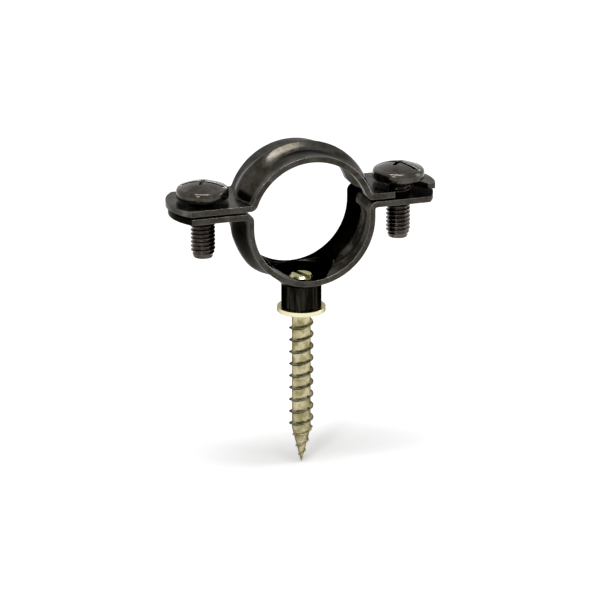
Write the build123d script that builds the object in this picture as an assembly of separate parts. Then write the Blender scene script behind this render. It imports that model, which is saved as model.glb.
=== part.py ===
from build123d import *
import math
import os

os.makedirs("parts", exist_ok=True)

# Driving dimensions, in millimetres. Z is up, Y is the pipe's axis, the origin is the middle of the pipe.
pipe_diameter = 28.0
sheet = 1.4
band_width = 17.0
screw_spacing = 49.4
clamp_thread = 5.9
clamp_screw_length = 14.8
head_diameter = 12.6
head_rim = 2.0
head_dome = 1.85
head_shoulder = 0.6
boss_diameter = 9.8
boss_bottom = -23.4
collar_diameter = 11.8
collar_height = 1.1
hanger_top = -15.3
wood_core = 4.6
wood_crest = 6.0
wood_pitch = 3.1
wood_length = 39.4
wood_point = 8.8
first_crest = 4.5
ridge_half_foot = 0.62
ridge_root = 0.2
ridge_flat = 0.06
run_out_length = 3.4
neck_flare = 0.4
tip_radius = 0.12
bare_tip = 1.6

# Clearances and gaps.
pipe_slack = 0.5
ear_gap = 0.6
thread_slack = 0.05
pivot_slack = 0.1
pivot_head_lift = 0.75
lock_head_lift = 0.9

# Where the two shells meet, and how far the upper arc is raised above the lower one.
lower_ear_top = 3.8
upper_ear_base = lower_ear_top + ear_gap
upper_rise = 0.6
ring_inner = pipe_diameter / 2 + pipe_slack
ring_outer = ring_inner + sheet
screw_x = screw_spacing / 2

# Bends, ear plans and the slot.
bend_inner = 0.5
upper_ear_end = 33.4
upper_end_radius = 12.3
lower_ear_end = 32.8
lower_end_radius = 13.5
slot_width = 7.8
slot_lead = 4.4
slot_lead_wall = 0.6
slot_lead_flare = 2.2
plunge_diameter = 7.6
plunge_depth = 0.8
plunge_flare = 0.4

# The pressed bead: wide beside the ears, narrow across the middle, and shallow where the saddle's dish begins.
upper_bead_height = 1.7
lower_bead_height = 1.8
lower_bead_low = 0.5
bead_middle = 2.8
bead_end = 6.8
bead_narrow = 12.0
bead_widens = 48.0
bead_foot = 0.12
bead_foot_slope = 14.0
bead_root = 0.8
bead_thinning = 0.3
bead_step = 12.0
bead_run_on = 8.0
dish_clear = 20.0
dish_fade = 28.0
lower_bead_fade = 10.0
lower_bead_reach = 94.0

# The round dish that seats the boss.
dish_mouth = 7.6
dish_floor = 3.9
dish_depth = 1.5
dish_flare = 0.4
screw_hole = 6.4

# Drive recesses.
slot_cut = 1.2
slot_depth = 1.5
pivot_slot_turn = -26.0
lock_slot_turn = -50.0
cross_span = 5.4
cross_depth = 2.2
cross_floor = 2.2
hanger_slot = 1.5
hanger_slot_turn = -70.0
hanger_slot_depth = 1.3
hanger_chamfer = 0.5
thread_chamfer = 0.65
chamfer_length = 1.8

lower_ear_base = lower_ear_top - sheet
upper_ear_top = upper_ear_base + sheet
dish_top = -(ring_inner + dish_depth)
boss_top = dish_top - sheet
collar_base = boss_bottom - collar_height
wood_tip = collar_base - wood_length
whole_turns = math.floor((wood_length - wood_point - first_crest) / wood_pitch)

# The largest size across the clamp, used for cuts that go right through, the length of the tools that pierce
# the sheet, and how far joined forms run into each other.
overall = 2 * upper_ear_end
punch = 10.0
bite = 0.3


def turned(points, x=0.0):
    """A solid of revolution about a vertical axis through x, from radius and height pairs."""
    outline = make_face(Polyline(*[(r, 0, z) for r, z in points], close=True))
    return Pos(x, 0, 0) * revolve(outline, Axis.Z, 360)


def ear_plan(end, radius):
    """The band seen from above: straight sides and a shallow arc at each end."""
    middle = Rectangle(2 * (end - radius), band_width)
    strip = Rectangle(2 * end, band_width)
    ends = [Pos(side * (end - radius), 0) * Circle(radius) & strip for side in (-1, 1)]
    return middle + ends[0] + ends[1]


def folded(section, end, radius):
    """The bent strip: a section along X and Z, as wide as the band, trimmed to the plan of its ears."""
    strip = extrude(Plane.XZ * section, band_width / 2, both=True)
    plan = extrude(ear_plan(end, radius), overall, both=True)
    return strip & plan


def corners(section, x, z):
    """The two corners of a section at plus and minus x, at height z."""
    return [v for v in section.vertices() if abs(abs(v.X) - x) < 0.01 and abs(v.Y - z) < 0.01]


def lower_strip():
    """Half ring, short upright walls and two level ears."""
    wall = Pos(0, lower_ear_top / 2) * Rectangle(2 * ring_outer, lower_ear_top)
    ears = Pos(0, lower_ear_top - sheet / 2) * Rectangle(2 * lower_ear_end, sheet)
    hollow = Circle(ring_inner) + Pos(0, lower_ear_top) * Rectangle(2 * ring_inner, 2 * lower_ear_top)
    section = Circle(ring_outer) + wall + ears - hollow
    section -= Pos(0, lower_ear_top + overall / 2) * Rectangle(overall, overall)
    section = fillet(corners(section, ring_outer, lower_ear_base), bend_inner)
    section = fillet(corners(section, ring_inner, lower_ear_top), bend_inner + sheet)
    return folded(section, lower_ear_end, lower_end_radius)


def upper_strip():
    """Shallow arch with two level ears."""
    ears = Pos(0, upper_ear_base + sheet / 2) * Rectangle(2 * upper_ear_end, sheet)
    section = Pos(0, upper_rise) * Circle(ring_outer) + ears - Pos(0, upper_rise) * Circle(ring_inner)
    section -= Pos(0, upper_ear_base - overall / 2) * Rectangle(overall, overall)
    inside = math.sqrt(ring_inner ** 2 - (upper_ear_base - upper_rise) ** 2)
    outside = math.sqrt(ring_outer ** 2 - (upper_ear_top - upper_rise) ** 2)
    section = fillet(corners(section, outside, upper_ear_top), bend_inner)
    section = fillet(corners(section, inside, upper_ear_base), bend_inner + sheet)
    return folded(section, upper_ear_end, upper_end_radius)


def eased(value):
    """Zero to one with a level start and finish."""
    held = min(max(value, 0), 1)
    return held * held * (3 - 2 * held)


def bead_width(turn):
    """Half width of the bead at an angle from its middle."""
    return bead_middle + (bead_end - bead_middle) * eased((abs(turn) - bead_narrow) / bead_widens)


def upper_crest(turn):
    """Height of the cap's bead."""
    return upper_bead_height


def lower_crest(turn):
    """Height of the saddle's bead: shallow over the dish, full up the sides, and run out under the ears."""
    full = lower_bead_low + (lower_bead_height - lower_bead_low) * eased((abs(turn) - dish_clear) / dish_fade)
    return full * min((lower_bead_reach - abs(turn)) / lower_bead_fade, 1)


def bead(surface, crest, reach, narrower):
    """A ridge along a half circle: a bell-shaped section on the given radius, carried round by a loft."""
    count = round(2 * reach / bead_step) + 1
    slope = math.radians(bead_foot_slope)
    sections = []
    for step in range(count):
        turn = -reach + 2 * reach * step / (count - 1)
        half = bead_width(turn) - narrower
        foot = surface - bead_foot
        along = (math.cos(math.radians(turn)), 0, -math.sin(math.radians(turn)))
        plane = Plane(origin=(0, 0, 0), x_dir=(0, 1, 0), z_dir=along)
        bell = Spline((-half, foot), (0, surface + crest(turn)), (half, foot),
                      tangents=[(math.cos(slope), math.sin(slope)), (math.cos(slope), -math.sin(slope))])
        base = Polyline((half, foot), (half, surface - bead_root), (-half, surface - bead_root), (-half, foot))
        sections.append(plane * make_face(bell + base))
    return loft(sections)


def dish(mouth, floor, bottom):
    """A shallow cone that widens upward from a flat floor, from the floor to the pipe's surface."""
    return turned([(0, bottom), (floor, bottom), (mouth, -ring_inner), (mouth, 0), (0, 0)])


def lower_half():
    """The saddle: strip, bead, dish for the boss and a plunged hole in each ear."""
    flip = Rot(0, 180, 0)
    ridge = bead(ring_outer, lower_crest, lower_bead_reach, 0)
    channel = bead(ring_inner, lower_crest, lower_bead_reach, bead_thinning)
    shell = lower_strip() + flip * ridge
    shell -= flip * channel
    shell += dish(dish_mouth + dish_flare, boss_diameter / 2, boss_top)
    shell -= dish(dish_mouth, dish_floor, dish_top)
    shell -= Rot(90, 0, 0) * Cylinder(ring_inner, band_width)
    shell -= Pos(0, 0, boss_top) * Cylinder(screw_hole / 2, punch)
    for x in (-screw_x, screw_x):
        rim = plunge_diameter / 2
        shell += turned([(0, lower_ear_base + bite), (rim + plunge_flare, lower_ear_base + bite),
                         (rim, lower_ear_base - plunge_depth), (0, lower_ear_base - plunge_depth)], x)
        shell -= Pos(x, 0, lower_ear_base) * Cylinder(clamp_thread / 2 + thread_slack, punch)
    return shell


def upper_half():
    """The cap: strip, bead, a round pivot hole on the left and an open slot on the right."""
    lift = Pos(0, 0, upper_rise)
    reach = 90 - math.degrees(math.asin((upper_ear_base + sheet / 2 - upper_rise) / ring_outer))
    shell = upper_strip() + lift * bead(ring_outer, upper_crest, reach, 0)
    shell -= lift * bead(ring_inner, upper_crest, reach + bead_run_on, bead_thinning)
    shell -= Pos(-screw_x, 0, upper_ear_base) * Cylinder(clamp_thread / 2 + pivot_slack, punch)
    shell -= Pos(screw_x, 0, upper_ear_base) * Cylinder(slot_width / 2, punch)
    shell -= Pos(screw_x, -band_width / 2, upper_ear_base) * Box(slot_width, band_width, punch)
    outer_wall = screw_x + slot_width / 2
    lead = make_face(Polyline((outer_wall - slot_lead_wall, 0), (outer_wall + slot_lead_flare, -slot_lead),
                              (overall, -slot_lead), (overall, -band_width), (screw_x, -band_width),
                              close=True))
    shell -= Pos(0, 0, upper_ear_base) * extrude(lead, punch, both=True)
    return shell


def clamp_screw(turn):
    """Domed machine screw, its head's underside at zero, with a slot and a cross recess."""
    head = head_diameter / 2
    shank = clamp_thread / 2
    top = head_rim + head_dome
    sphere = (head ** 2 + head_dome ** 2) / (2 * head_dome)
    body = Cylinder(head, top, align=(Align.CENTER, Align.CENTER, Align.MIN))
    body &= Pos(0, 0, top - sphere) * Sphere(sphere)
    brow = [edge for edge in body.edges() if abs(edge.center().Z - head_rim) < 0.01]
    body = fillet(brow, head_shoulder)
    body += turned([(0, bite), (shank, bite), (shank, chamfer_length - clamp_screw_length),
                    (shank - thread_chamfer, -clamp_screw_length), (0, -clamp_screw_length)])
    cut = Pos(0, 0, top) * Box(2 * head, slot_cut, 2 * slot_depth)
    for angle in (0, 90):
        cut += Rot(0, 0, angle) * cross_wing(top)
    return body - Rot(0, 0, turn) * cut


def cross_wing(top):
    """One wing of the cross recess, narrowing with depth."""
    wing = make_face(Polyline((-cross_span / 2, 0, top + bite), (cross_span / 2, 0, top + bite),
                              (cross_floor / 2, 0, top - cross_depth), (-cross_floor / 2, 0, top - cross_depth),
                              close=True))
    return extrude(wing, slot_cut / 2, both=True)


def wood_ridge(path, root):
    """A sharp ridge of triangular section swept along a helix."""
    start = path @ 0
    side = math.copysign(1, start.X)
    rise = wood_crest / 2 - root
    crest = start.X + side * rise
    section = make_face(Polyline((start.X, 0, start.Z - ridge_half_foot), (crest, 0, start.Z - ridge_flat),
                                 (crest, 0, start.Z + ridge_flat), (start.X, 0, start.Z + ridge_half_foot),
                                 close=True))
    return sweep(section, path, is_frenet=True)


def hanger_screw():
    """Slotted machine thread, thin collar and a coarse wood thread down to a point."""
    shank = clamp_thread / 2
    core = wood_core / 2
    cone_top = wood_tip + wood_point
    last_crest = collar_base - first_crest - whole_turns * wood_pitch
    body = turned([(0, hanger_top), (shank - hanger_chamfer, hanger_top), (shank, hanger_top - hanger_chamfer),
                   (shank, boss_bottom), (collar_diameter / 2, boss_bottom),
                   (collar_diameter / 2, collar_base), (core + neck_flare, collar_base),
                   (core, collar_base - neck_flare), (core, cone_top), (tip_radius, wood_tip), (0, wood_tip)])
    root = core - ridge_root
    straight = Helix(wood_pitch, (whole_turns + 1.5) * wood_pitch, root,
                     center=(0, 0, last_crest - wood_pitch / 2))
    slope = math.degrees(math.atan((core - tip_radius) / wood_point))
    pointed = Helix(wood_pitch, last_crest - wood_tip - bare_tip, root, center=(0, 0, last_crest),
                    direction=(0, 0, -1), cone_angle=-slope)
    run_out = turned([(0, collar_base), (root, collar_base), (wood_crest / 2, collar_base - run_out_length),
                      (wood_crest, collar_base - run_out_length), (wood_crest, wood_tip), (0, wood_tip)])
    body += wood_ridge(straight, root) & run_out
    body += wood_ridge(pointed, root)
    groove = Rot(0, 0, hanger_slot_turn) * Box(punch, hanger_slot, 2 * hanger_slot_depth)
    return body - Pos(0, 0, hanger_top) * groove


def threaded_boss():
    """Plain round boss welded under the dish, bored for the hanger screw."""
    height = boss_top - boss_bottom
    tube = Cylinder(boss_diameter / 2, height) - Cylinder(clamp_thread / 2 + thread_slack, height)
    return Pos(0, 0, boss_bottom + height / 2) * tube


pivot_head = upper_ear_top + pivot_head_lift
lock_head = upper_ear_top + lock_head_lift
pieces = {
    "lower_half": lower_half(),
    "upper_half": upper_half(),
    "threaded_boss": threaded_boss(),
    "hanger_screw": hanger_screw(),
    "pivot_screw": Pos(-screw_x, 0, pivot_head) * clamp_screw(pivot_slot_turn),
    "locking_screw": Pos(screw_x, 0, lock_head) * clamp_screw(lock_slot_turn),
}
for name, solid in pieces.items():
    solid.label = name
    export_step(solid, f"parts/{name}.step")
    print(name, round(solid.volume, 1), solid.is_valid, len(solid.solids()))
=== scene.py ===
import math

import bmesh
import bpy
from mathutils import Matrix, Vector


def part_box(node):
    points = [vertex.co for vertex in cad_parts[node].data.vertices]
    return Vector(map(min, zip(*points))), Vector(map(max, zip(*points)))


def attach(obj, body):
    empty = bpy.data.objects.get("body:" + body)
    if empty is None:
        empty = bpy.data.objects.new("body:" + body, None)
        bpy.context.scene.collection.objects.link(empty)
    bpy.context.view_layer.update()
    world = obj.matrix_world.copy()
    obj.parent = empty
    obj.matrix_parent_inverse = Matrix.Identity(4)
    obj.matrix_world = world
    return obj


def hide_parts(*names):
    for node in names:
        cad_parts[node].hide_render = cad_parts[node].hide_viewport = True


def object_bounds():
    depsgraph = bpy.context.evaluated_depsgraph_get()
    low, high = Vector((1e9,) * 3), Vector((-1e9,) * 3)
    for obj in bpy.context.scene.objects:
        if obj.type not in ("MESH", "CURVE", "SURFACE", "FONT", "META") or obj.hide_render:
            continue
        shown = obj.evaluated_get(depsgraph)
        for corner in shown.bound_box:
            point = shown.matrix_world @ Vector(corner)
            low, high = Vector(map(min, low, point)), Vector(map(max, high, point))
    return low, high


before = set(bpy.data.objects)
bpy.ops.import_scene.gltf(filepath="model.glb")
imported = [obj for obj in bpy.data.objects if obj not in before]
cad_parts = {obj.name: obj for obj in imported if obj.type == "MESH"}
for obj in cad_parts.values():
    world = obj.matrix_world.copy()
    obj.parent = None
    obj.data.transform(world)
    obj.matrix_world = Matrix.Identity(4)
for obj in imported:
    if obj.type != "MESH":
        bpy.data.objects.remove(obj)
cad_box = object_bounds()

MM = 0.001

# Clamp screws, in millimetres. They follow the solids, but the head's shoulder is broader (0.6 there), the
# cross a little narrower (1.2 there), and the thread's teeth are only here.
HEAD_RADIUS = 6.3
HEAD_RIM = 2.0
HEAD_DOME = 1.85
HEAD_SHOULDER = 1.0
SHOULDER_DROP = 0.55
UNDERSIDE_ROUND = 0.25
UNDERSIDE_MIDDLE = 0.08
SLOT_WIDTH = 1.2
SLOT_DEPTH = 1.5
CROSS_WIDTH = 1.152
CROSS_SPAN = 5.4
CROSS_FLOOR = 2.2
CROSS_DEPTH = 2.2
BITE = 0.3
THREAD_CREST = 2.95
THREAD_ROOT = 2.38
THREAD_PITCH = 1.0
CREST_FROM = 0.40
CREST_TO = 0.54
ROOT_FROM = 0.94
RUN_INTO_HEAD = 0.6
SHANK_LENGTH = 14.8
END_CHAMFER = 0.65
CHAMFER_LENGTH = 1.8
SCREWS = {
    "pivot_screw": {"turn": -26.0, "seed": 0.0},
    "locking_screw": {"turn": -50.0, "seed": 3.7},
}

# How finely the round forms are stepped.
DOME_STEPS = 12
SHOULDER_STEPS = 6
HEAD_STEPS = 96
THREAD_STEPS = 48
SPARE_TURNS = 2
SHARP_FOLD = math.radians(32)

# Where the finishes and the painted light and shade change, in millimetres.
EAR_ROOT = (15.0, 18.0)
FRONT_MARGIN = (-7.3, -6.6)
SEAT_LINE_ACROSS = (1.5, 11.0)
SEAT_LINE_ALONG = (-9.0, 2.0)
SEAT_LINE_BLUR = (-0.5, 0.3)
COLLAR_UNDERSIDE = (-25.2, -24.2)
WOOD_FLANK = (2.35, 2.8)
HEAD_UNDERSIDE = (5.6, 6.4)

# The steel that shows through on both halves' worn edges.
WORN_SHEET = (0.25, 0.24, 0.215)


class Nodes:
    """A material's node tree, with short calls for the nodes that the finishes share."""

    def __init__(self, name):
        self.material = bpy.data.materials.new(name)
        self.material.use_nodes = True
        self.tree = self.material.node_tree
        self.tree.nodes.clear()
        output = self.add("ShaderNodeOutputMaterial")
        self.shader = self.add("ShaderNodeBsdfPrincipled")
        self.link(self.shader.outputs["BSDF"], output.inputs["Surface"])
        coordinates = self.add("ShaderNodeTexCoord")
        self.place = coordinates.outputs["Object"]
        self.normal = coordinates.outputs["Normal"]

    def add(self, kind, **settings):
        node = self.tree.nodes.new(kind)
        for name, value in settings.items():
            setattr(node, name, value)
        return node

    def link(self, source, target):
        """Join a socket to another, or set a number, a colour or a direction on it."""
        if hasattr(source, "is_linked"):
            self.tree.links.new(source, target)
        elif target.type == "RGBA":
            colour = source if isinstance(source, tuple) else (source, source, source)
            target.default_value = (*colour, 1.0)
        else:
            target.default_value = source

    def noise(self, scale, detail, roughness, stretch=(1, 1, 1), offset=(0, 0, 0)):
        """Noise whose scale counts features across one metre."""
        mapping = self.add("ShaderNodeMapping")
        self.link(self.place, mapping.inputs["Vector"])
        mapping.inputs["Scale"].default_value = stretch
        mapping.inputs["Location"].default_value = offset
        noise = self.add("ShaderNodeTexNoise")
        self.link(mapping.outputs["Vector"], noise.inputs["Vector"])
        noise.inputs["Scale"].default_value = scale
        noise.inputs["Detail"].default_value = detail
        noise.inputs["Roughness"].default_value = roughness
        return noise.outputs["Fac"]

    def span(self, value, low, high, to_low=0.0, to_high=1.0):
        """Stretch a range of a value to another range, smoothly and held at both ends."""
        node = self.add("ShaderNodeMapRange", interpolation_type="SMOOTHSTEP")
        self.link(value, node.inputs["Value"])
        limits = {"From Min": low, "From Max": high, "To Min": to_low, "To Max": to_high}
        for name, amount in limits.items():
            node.inputs[name].default_value = amount
        return node.outputs["Result"]

    def span_mm(self, value, limits, to_low=0.0, to_high=1.0):
        """The same for a length, with its limits in millimetres."""
        low, high = limits
        return self.span(value, low * MM, high * MM, to_low, to_high)

    def math(self, operation, first, second=0.0):
        node = self.add("ShaderNodeMath", operation=operation)
        self.link(first, node.inputs[0])
        self.link(second, node.inputs[1])
        return node.outputs["Value"]

    def vector(self, operation, first, second=(0, 0, 0), result="Vector"):
        node = self.add("ShaderNodeVectorMath", operation=operation)
        self.link(first, node.inputs[0])
        self.link(second, node.inputs[1])
        return node.outputs[result]

    def dot(self, first, second):
        return self.vector("DOT_PRODUCT", first, second, "Value")

    def mix(self, amount, first, second):
        """Blend two colours."""
        node = self.add("ShaderNodeMix", data_type="RGBA")
        self.link(amount, node.inputs["Factor"])
        self.link(first, node.inputs[6])
        self.link(second, node.inputs[7])
        return node.outputs[2]

    def axis(self, letter):
        """The place along one axis."""
        axes = self.add("ShaderNodeSeparateXYZ")
        self.link(self.place, axes.inputs["Vector"])
        return axes.outputs[letter]

    def round_edges(self, radius_mm):
        """A normal that rolls over the edges; the bump starts from it."""
        node = self.add("ShaderNodeBevel", samples=6)
        node.inputs["Radius"].default_value = radius_mm * MM
        self.rounded = node.outputs["Normal"]

    def edges(self, low, high):
        """How close a point is to an edge: one minus the match of the rounded and the true normal."""
        true = self.add("ShaderNodeNewGeometry").outputs["Normal"]
        return self.span(self.math("SUBTRACT", 1.0, self.dot(self.rounded, true)), low, high)

    def bump(self, height, depth_mm):
        node = self.add("ShaderNodeBump")
        node.inputs["Distance"].default_value = depth_mm * MM
        node.inputs["Strength"].default_value = 1.0
        self.link(height, node.inputs["Height"])
        self.link(self.rounded, node.inputs["Normal"])
        self.link(node.outputs["Normal"], self.shader.inputs["Normal"])

    def openness(self, reach_mm, low, high):
        """How open a point is to its surroundings: zero in a groove, one on open ground."""
        node = self.add("ShaderNodeAmbientOcclusion", samples=6, only_local=True)
        node.inputs["Distance"].default_value = reach_mm * MM
        return self.span(node.outputs["AO"], low, high)

    def cut_edge(self, low, high):
        """One on the sheet's sheared faces, which look along the pipe."""
        return self.span(self.math("ABSOLUTE", self.dot(self.normal, (0, 1, 0))), low, high)

    def inward(self):
        """One where the surface faces the pipe's axis, zero elsewhere."""
        to_axis = self.vector("NORMALIZE", self.vector("MULTIPLY", self.place, (-1, 0, -1)))
        return self.span(self.dot(to_axis, self.normal), 0.2, 0.4)

    def behind_line(self):
        """One behind a line across the pipe's seat, which runs to the front edge beside the dish."""
        across = self.math("ABSOLUTE", self.axis("X"))
        line_front, line_back = (place * MM for place in SEAT_LINE_ALONG)
        line = self.span_mm(across, SEAT_LINE_ACROSS, line_front, line_back)
        return self.span_mm(self.math("SUBTRACT", self.axis("Y"), line), SEAT_LINE_BLUR)

    def finish(self, colour, roughness, edge_tint=1.0):
        """Set a metal's shader, with the brightness that it keeps at a glancing angle."""
        self.link(colour, self.shader.inputs["Base Color"])
        self.link(roughness, self.shader.inputs["Roughness"])
        self.shader.inputs["Metallic"].default_value = 1.0
        self.link(edge_tint, self.shader.inputs["Specular Tint"])
        return self.material


def oxide(nodes, seed, dark, light, worn):
    """Clouded dark oxide with scuffs and lighter worn edges; gives the colour and the cloud behind it."""
    cloud = nodes.noise(300, 5, 0.6, offset=(seed, 0, 0))
    scuff = nodes.span(nodes.noise(1100, 6, 0.7, offset=(0, 0, seed)), 0.55, 0.75)
    nodes.round_edges(0.3)
    edge = nodes.edges(0.02, 0.22)
    body = nodes.mix(nodes.span(cloud, 0.36, 0.64), dark, light)
    scuffed = nodes.mix(nodes.math("MULTIPLY", scuff, 0.25), body, worn)
    return nodes.mix(nodes.math("MULTIPLY", edge, 0.8), scuffed, worn), cloud


def cap_oxide_and_light(name):
    """Dark brown-grey oxide on the pressed cap, with painted light on its ears and front margin."""
    nodes = Nodes(name)
    arch, cloud = oxide(nodes, 5.3, dark=(0.026, 0.022, 0.016), light=(0.054, 0.050, 0.043), worn=WORN_SHEET)
    # Painted light: a lighter tone on the ears and the front margin, kept off the cut faces.
    painted_light_tone = nodes.mix(nodes.span(cloud, 0.4, 0.6), (0.060, 0.056, 0.048), (0.120, 0.115, 0.104))
    ear = nodes.span_mm(nodes.math("ABSOLUTE", nodes.axis("X")), EAR_ROOT, 0.0, 0.8)
    margin = nodes.span_mm(nodes.axis("Y"), FRONT_MARGIN, 0.85, 0.0)
    face = nodes.math("SUBTRACT", 1.0, nodes.cut_edge(0.5, 0.8))
    painted_light_mask = nodes.math("MULTIPLY", nodes.math("MAXIMUM", ear, margin), face)
    nodes.bump(nodes.noise(2600, 3, 0.6), 0.010)
    return nodes.finish(nodes.mix(painted_light_mask, arch, painted_light_tone), nodes.span(cloud, 0.3, 0.7, 0.17, 0.27), 0.6)


def saddle_oxide_and_shade(name):
    """Painted near-black shade over the saddle; the oxide tone stays on its cut edges and, as painted light,
    in patches inside in front of the seat's line; behind that line the inside gets a painted dark
    reflection, with no glancing reflection.
    """
    nodes = Nodes(name)
    oxide_tone, cloud = oxide(nodes, 0.0, dark=(0.030, 0.026, 0.021), light=(0.054, 0.049, 0.042), worn=WORN_SHEET)
    # Painted shade: near-black over the saddle wherever the oxide tone is not left on.
    black = nodes.mix(nodes.span(cloud, 0.5, 0.75), (0.0022, 0.0020, 0.0014), (0.009, 0.008, 0.005))
    inside = nodes.inward()
    behind = nodes.math("MULTIPLY", inside, nodes.behind_line())
    front = nodes.math("SUBTRACT", inside, behind)
    # Painted light: patches of the oxide tone inside, in front of the seat's line; the cut edges keep the
    # oxide tone too.
    patch = nodes.span(nodes.noise(260, 4, 0.6, offset=(0.3, 0, 0)), 0.42, 0.58, 0.15, 1.0)
    unshaded = nodes.math("MAXIMUM", nodes.cut_edge(0.55, 0.85), nodes.math("MULTIPLY", front, patch))
    nodes.bump(nodes.noise(2600, 3, 0.6), 0.010)
    # Painted dark reflection: the inside behind the seat's line keeps no glancing reflection.
    edge_tint = nodes.mix(behind, (0.57, 0.56, 0.545), (0.0, 0.0, 0.0))
    return nodes.finish(nodes.mix(unshaded, black, oxide_tone), nodes.span(cloud, 0.3, 0.7, 0.26, 0.36), edge_tint)


def boss_oxide(name):
    """Glossy black on the boss, made on a lathe; lighter vertical streaks in its colour are a painted
    reflection, and the same streaks vary its bump and roughness.
    """
    nodes = Nodes(name)
    boss_streaks = nodes.noise(900, 3, 0.5, stretch=(1.0, 1.0, 0.12))
    # Painted reflection: the lighter vertical streaks in the black colour.
    colour = nodes.mix(nodes.span(boss_streaks, 0.4, 0.7), (0.003, 0.0027, 0.0018), (0.026, 0.024, 0.017))
    nodes.round_edges(0.2)
    nodes.bump(boss_streaks, 0.008)
    return nodes.finish(colour, nodes.span(boss_streaks, 0.3, 0.7, 0.2, 0.3), 0.12)


def yellow_zinc(name):
    """Yellow passivate over zinc: straw clouds, olive painted shade in the grooves, grey-green painted dark
    reflection on the crests and a pale collar.
    """
    nodes = Nodes(name)
    cloud = nodes.noise(420, 5, 0.6)
    streak = nodes.noise(1500, 4, 0.6, stretch=(1, 1, 0.4), offset=(0.7, 0, 0))
    straw = nodes.mix(nodes.span(cloud, 0.35, 0.62), (0.21, 0.19, 0.08), (0.49, 0.43, 0.28))
    clouded = nodes.mix(nodes.span(streak, 0.5, 0.75, 0.0, 0.6), straw, (0.18, 0.18, 0.07))
    # Painted shade: dark olive in the thread's grooves, where the surface is closed in.
    groove_shade = nodes.mix(nodes.openness(1.6, 0.35, 0.85), (0.13, 0.12, 0.04), clouded)
    # Painted dark reflection: grey-green on the crests, outside the flank radius.
    radius = nodes.vector("LENGTH", nodes.vector("MULTIPLY", nodes.place, (1, 1, 0)), result="Value")
    painted_dark_crests = nodes.mix(nodes.span_mm(radius, WOOD_FLANK, 0.0, 0.85), groove_shade, (0.13, 0.135, 0.095))
    above = nodes.span_mm(nodes.axis("Z"), COLLAR_UNDERSIDE, 0.0, 0.85)
    colour = nodes.mix(above, painted_dark_crests, (0.76, 0.72, 0.46))
    nodes.round_edges(0.12)
    nodes.bump(nodes.noise(3000, 2, 0.5), 0.006)
    return nodes.finish(colour, nodes.span(cloud, 0.3, 0.7, 0.2, 0.3), 0.15)


def screw_oxide(name, seed):
    """Brown-grey oxide on a clamp screw, worn lighter on the head's edges."""
    nodes = Nodes(name)
    worn = (0.25, 0.235, 0.205)
    head, cloud = oxide(nodes, seed, dark=(0.040, 0.036, 0.030), light=(0.074, 0.068, 0.059), worn=worn)
    shank = nodes.mix(nodes.span(cloud, 0.36, 0.64), (0.052, 0.042, 0.035), (0.098, 0.082, 0.071))
    colour = nodes.mix(nodes.span_mm(nodes.axis("Z"), HEAD_UNDERSIDE), shank, head)
    nodes.bump(nodes.noise(3200, 3, 0.6), 0.002)
    return nodes.finish(colour, nodes.span(cloud, 0.3, 0.7, 0.14, 0.2))


def shade(mesh):
    """Smooth faces, with the sharp folds kept."""
    mesh.shade_smooth()
    mesh.set_sharp_from_angle(angle=SHARP_FOLD)


def mesh_object(name, bm):
    """A new piece from a bmesh in metres."""
    mesh = bpy.data.meshes.new(name)
    bm.to_mesh(mesh)
    bm.free()
    piece = bpy.data.objects.new(name, mesh)
    bpy.context.scene.collection.objects.link(piece)
    shade(mesh)
    return piece


def outline(bm, points):
    """A run of edges through radius and height pairs, in the XZ plane."""
    corners = [bm.verts.new((r * MM, 0, z * MM)) for r, z in points]
    return corners + [bm.edges.new(pair) for pair in zip(corners, corners[1:])]


def spin(bm, geometry, turns, steps, rise=0.0):
    """Turn an outline about the Z axis, with a rise for each whole turn."""
    bmesh.ops.spin(bm, geom=geometry, cent=(0, 0, 0), axis=(0, 0, 1), angle=2 * math.pi * turns,
                   steps=steps, dvec=(0, 0, rise * turns * MM / steps), use_merge=(rise == 0.0))
    bmesh.ops.remove_doubles(bm, verts=bm.verts, dist=0.0005 * MM)
    bmesh.ops.recalc_face_normals(bm, faces=bm.faces)


def joined(piece, other, operation):
    """Combine two closed pieces and keep the result as the first piece's mesh."""
    modifier = piece.modifiers.new(operation.lower(), "BOOLEAN")
    modifier.operation = operation
    modifier.solver = "EXACT"
    modifier.object = other
    shape = piece.evaluated_get(bpy.context.evaluated_depsgraph_get())
    mesh = bpy.data.meshes.new_from_object(shape)
    piece.modifiers.clear()
    piece.data = mesh
    spare = other.data
    bpy.data.objects.remove(other)
    bpy.data.meshes.remove(spare)


def dome_height(radius):
    """Height of the domed head above its underside at a radius."""
    sphere = (HEAD_RADIUS ** 2 + HEAD_DOME ** 2) / (2 * HEAD_DOME)
    return HEAD_RIM + HEAD_DOME - sphere + math.sqrt(sphere ** 2 - radius ** 2)


def screw_head(name):
    """Domed head with a rounded shoulder, a plain rim and a flat underside."""
    brow = HEAD_RADIUS - HEAD_SHOULDER
    steps = [brow * part / DOME_STEPS for part in range(DOME_STEPS + 1)]
    dome = [(radius, dome_height(radius)) for radius in steps]
    low = HEAD_RIM - HEAD_SHOULDER * SHOULDER_DROP
    high = dome_height(brow)
    shoulder = []
    for part in range(1, SHOULDER_STEPS):
        turn = math.radians(90 * part / SHOULDER_STEPS)
        shoulder.append((brow + HEAD_SHOULDER * math.sin(turn), low + (high - low) * math.cos(turn)))
    rim = [(HEAD_RADIUS, low), (HEAD_RADIUS, UNDERSIDE_ROUND),
           (HEAD_RADIUS - UNDERSIDE_MIDDLE, UNDERSIDE_MIDDLE),
           (HEAD_RADIUS - UNDERSIDE_ROUND, 0.0), (0.0, 0.0)]
    bm = bmesh.new()
    spin(bm, outline(bm, dome + shoulder + rim), 1, HEAD_STEPS)
    return mesh_object(name, bm)


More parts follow.
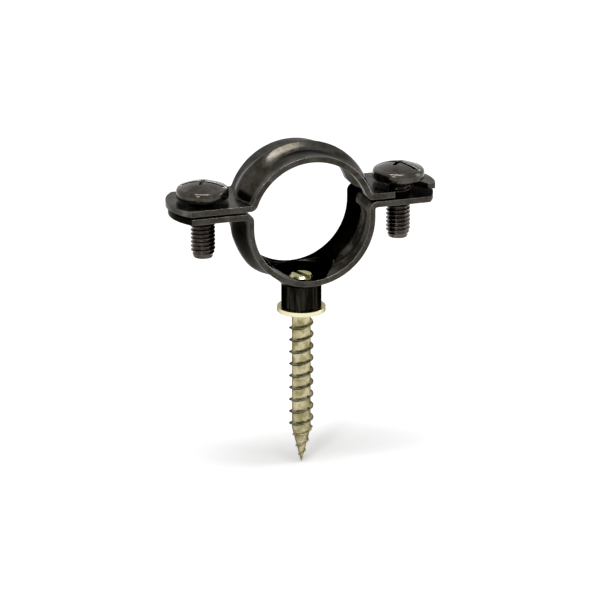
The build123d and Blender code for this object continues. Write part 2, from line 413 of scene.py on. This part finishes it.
def slot_cutter(name, turn):
    """The straight slot that is cut across a head."""
    top = HEAD_RIM + HEAD_DOME
    bm = bmesh.new()
    size = (4 * HEAD_RADIUS * MM, SLOT_WIDTH * MM, 2 * SLOT_DEPTH * MM)
    shape = Matrix.Translation((0, 0, top * MM)) @ Matrix.Diagonal((*size, 1))
    bmesh.ops.create_cube(bm, size=1, matrix=Matrix.Rotation(math.radians(turn), 4, "Z") @ shape)
    return mesh_object(name, bm)


def cross_cutter(name, turn):
    """One pair of the cross recess's wings, which taper to its floor."""
    top = HEAD_RIM + HEAD_DOME
    bm = bmesh.new()
    corners = bmesh.ops.create_cube(bm, size=1)["verts"]
    for corner in corners:
        low = corner.co.z < 0
        half_span = (CROSS_FLOOR if low else CROSS_SPAN) / 2
        height = top - CROSS_DEPTH if low else top + BITE
        x = math.copysign(half_span, corner.co.x)
        y = math.copysign(CROSS_WIDTH / 2, corner.co.y)
        corner.co = Vector((x, y, height)) * MM
    bmesh.ops.rotate(bm, verts=corners, matrix=Matrix.Rotation(math.radians(turn), 3, "Z"))
    return mesh_object(name, bm)


def thread(name):
    """A right-handed M6 thread with flat crests, run up into the head and chamfered at its end."""
    bm = bmesh.new()
    start = -(math.ceil(SHANK_LENGTH) + SPARE_TURNS) * THREAD_PITCH
    turns = math.ceil(SHANK_LENGTH) + SPARE_TURNS + 1
    tooth = [(THREAD_ROOT, start), (THREAD_CREST, start + CREST_FROM), (THREAD_CREST, start + CREST_TO),
             (THREAD_ROOT, start + ROOT_FROM), (THREAD_ROOT, start + THREAD_PITCH)]
    spin(bm, outline(bm, tooth), turns, THREAD_STEPS * turns, THREAD_PITCH)
    for height, outward in ((-SHANK_LENGTH, -1), (RUN_INTO_HEAD, 1)):
        everything = bm.verts[:] + bm.edges[:] + bm.faces[:]
        bmesh.ops.bisect_plane(bm, geom=everything, plane_co=(0, 0, height * MM),
                               plane_no=(0, 0, outward), clear_outer=True)
    for vert in bm.verts:
        limit = THREAD_CREST - END_CHAMFER * (1 - (vert.co.z / MM + SHANK_LENGTH) / CHAMFER_LENGTH)
        radius = vert.co.xy.length / MM
        if radius > limit:
            vert.co.xy *= limit / radius
    bmesh.ops.holes_fill(bm, edges=[edge for edge in bm.edges if edge.is_boundary], sides=0)
    bmesh.ops.recalc_face_normals(bm, faces=bm.faces)
    return mesh_object(name, bm)


def clamp_screw(node, turn, seed):
    """One whole clamp screw in place of its plain CAD node."""
    low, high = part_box(node)
    piece = screw_head(f"{node}_detailed")
    joined(piece, slot_cutter("slot", turn), "DIFFERENCE")
    for quarter in (0, 90):
        joined(piece, cross_cutter("cross", turn + quarter), "DIFFERENCE")
    joined(piece, thread("thread"), "UNION")
    middle = (low + high) / 2
    seat = Vector((middle.x, middle.y, low.z + SHANK_LENGTH * MM))
    piece.data.transform(Matrix.Translation(seat))
    shade(piece.data)
    piece.data.materials.clear()
    piece.data.materials.append(screw_oxide(f"{node}_oxide", seed))
    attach(piece, node)
    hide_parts(node)


def finish_node(name, material):
    """Give a CAD node its finish."""
    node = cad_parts[name]
    for slot in node.material_slots:
        slot.material = material


finish_node("lower_half", saddle_oxide_and_shade("saddle_oxide_and_shade"))
finish_node("upper_half", cap_oxide_and_light("cap_oxide_and_light"))
finish_node("threaded_boss", boss_oxide("boss_oxide"))
finish_node("hanger_screw", yellow_zinc("hanger_zinc"))
for screw, settings in SCREWS.items():
    clamp_screw(screw, **settings)


# Floor and light, in metres.
FLOOR_HALF = 3.0
FLOOR_GAP = 0.0002
FLOOR_GREY = 0.9
FLOOR_ROUGHNESS = 0.9
GLOW_FROM = 0.1
GLOW_TO = 0.7
GLOW_NEAR = 0.22
GLOW_FAR = 0.55
WORLD_LIGHT = 0.3
LAMPS = {
    "overhead": {"place": (-0.06, -0.08, 0.6), "size": (0.4, 0.2), "power": 3.4},
    "key_left": {"place": (-0.4, -0.5, 0.35), "size": (0.16, 0.16), "power": 1.3},
    "fill_right": {"place": (0.5, -0.1, 0.1), "size": (0.2, 0.4), "power": 1.0},
}


def seen_directly(tree):
    """One for camera, gloss and transmission rays, zero for light that is passed on."""
    path = tree.nodes.new("ShaderNodeLightPath")
    seen = path.outputs["Is Camera Ray"]
    for ray in ("Is Glossy Ray", "Is Transmission Ray"):
        either = tree.nodes.new("ShaderNodeMath")
        either.operation = "MAXIMUM"
        tree.links.new(seen, either.inputs[0])
        tree.links.new(path.outputs[ray], either.inputs[1])
        seen = either.outputs["Value"]
    return seen


def floor_finish(name):
    """Pale matt floor that glows a little where it is seen, and more with distance."""
    nodes = Nodes(name)
    distance = nodes.vector("LENGTH", nodes.place, result="Value")
    glow = nodes.add("ShaderNodeMapRange")
    nodes.link(distance, glow.inputs["Value"])
    limits = {"From Min": GLOW_FROM, "From Max": GLOW_TO, "To Min": GLOW_NEAR, "To Max": GLOW_FAR}
    for field, amount in limits.items():
        glow.inputs[field].default_value = amount
    lift = nodes.math("MULTIPLY", seen_directly(nodes.tree), glow.outputs["Result"])
    nodes.link(FLOOR_GREY, nodes.shader.inputs["Base Color"])
    nodes.link(FLOOR_ROUGHNESS, nodes.shader.inputs["Roughness"])
    nodes.link(1.0, nodes.shader.inputs["Emission Color"])
    nodes.link(lift, nodes.shader.inputs["Emission Strength"])
    return nodes.material


def pale_floor():
    """A wide pale floor just under the screw's tip, which keeps its shadow."""
    bm = bmesh.new()
    bmesh.ops.create_grid(bm, x_segments=1, y_segments=1, size=FLOOR_HALF)
    bmesh.ops.translate(bm, verts=bm.verts, vec=(0, 0, cad_box[0][2] - FLOOR_GAP))
    floor = mesh_object("floor", bm)
    floor.data.materials.append(floor_finish("pale_floor"))


def world_light(strength):
    """Even white surroundings: plain white to the camera and to gloss, softer as light."""
    world = bpy.data.worlds.new("studio")
    world.use_nodes = True
    tree = world.node_tree
    background = tree.nodes["Background"]
    seen = tree.nodes.new("ShaderNodeMapRange")
    tree.links.new(seen_directly(tree), seen.inputs["Value"])
    seen.inputs["To Min"].default_value = strength
    seen.inputs["To Max"].default_value = 1.0
    tree.links.new(seen.outputs["Result"], background.inputs["Strength"])
    background.inputs["Color"].default_value = (1, 1, 1, 1)
    bpy.context.scene.world = world


def area_light(name, place, size, power):
    """A soft rectangular lamp aimed at the middle of the clamp."""
    lamp = bpy.data.lights.new(name, "AREA")
    lamp.shape = "RECTANGLE"
    lamp.size, lamp.size_y = size
    lamp.energy = power
    light = bpy.data.objects.new(name, lamp)
    bpy.context.scene.collection.objects.link(light)
    light.location = place
    light.rotation_euler = (-Vector(place)).to_track_quat("-Z", "Y").to_euler()


pale_floor()
world_light(WORLD_LIGHT)
for lamp_name, lamp_settings in LAMPS.items():
    area_light(lamp_name, **lamp_settings)


# Camera, at the front left and a little above, in millimetres and radians; clip planes in metres.
VIEW_AZIMUTH = math.radians(18.227)
VIEW_ELEVATION = math.radians(19.172)
VIEW_DISTANCE = 800.0
PIXELS_PER_MM = 4.163
VIEW_RIGHT_SHIFT = 0.316
VIEW_UP_SHIFT = 20.837
SENSOR = 36.0
FRAME_PIXELS = 600
CLIP_START = 0.01
CLIP_END = 20.0


def view_camera():
    turn, rise = VIEW_AZIMUTH, VIEW_ELEVATION
    right = Vector((math.cos(turn), -math.sin(turn), 0))
    ahead = Vector((math.sin(turn) * math.cos(rise), math.cos(turn) * math.cos(rise), -math.sin(rise)))
    up = right.cross(ahead)
    lens = bpy.data.cameras.new("view")
    lens.sensor_width = SENSOR
    lens.lens = SENSOR * PIXELS_PER_MM * VIEW_DISTANCE / FRAME_PIXELS
    lens.clip_start = CLIP_START
    lens.clip_end = CLIP_END
    camera = bpy.data.objects.new("view", lens)
    bpy.context.scene.collection.objects.link(camera)
    place = -(VIEW_RIGHT_SHIFT * right + VIEW_UP_SHIFT * up + VIEW_DISTANCE * ahead) * MM
    camera.matrix_world = Matrix.Translation(place) @ Matrix((right, up, -ahead)).transposed().to_4x4()
    bpy.context.scene.camera = camera


view_camera()
bpy.context.scene.view_settings.view_transform = "Standard"
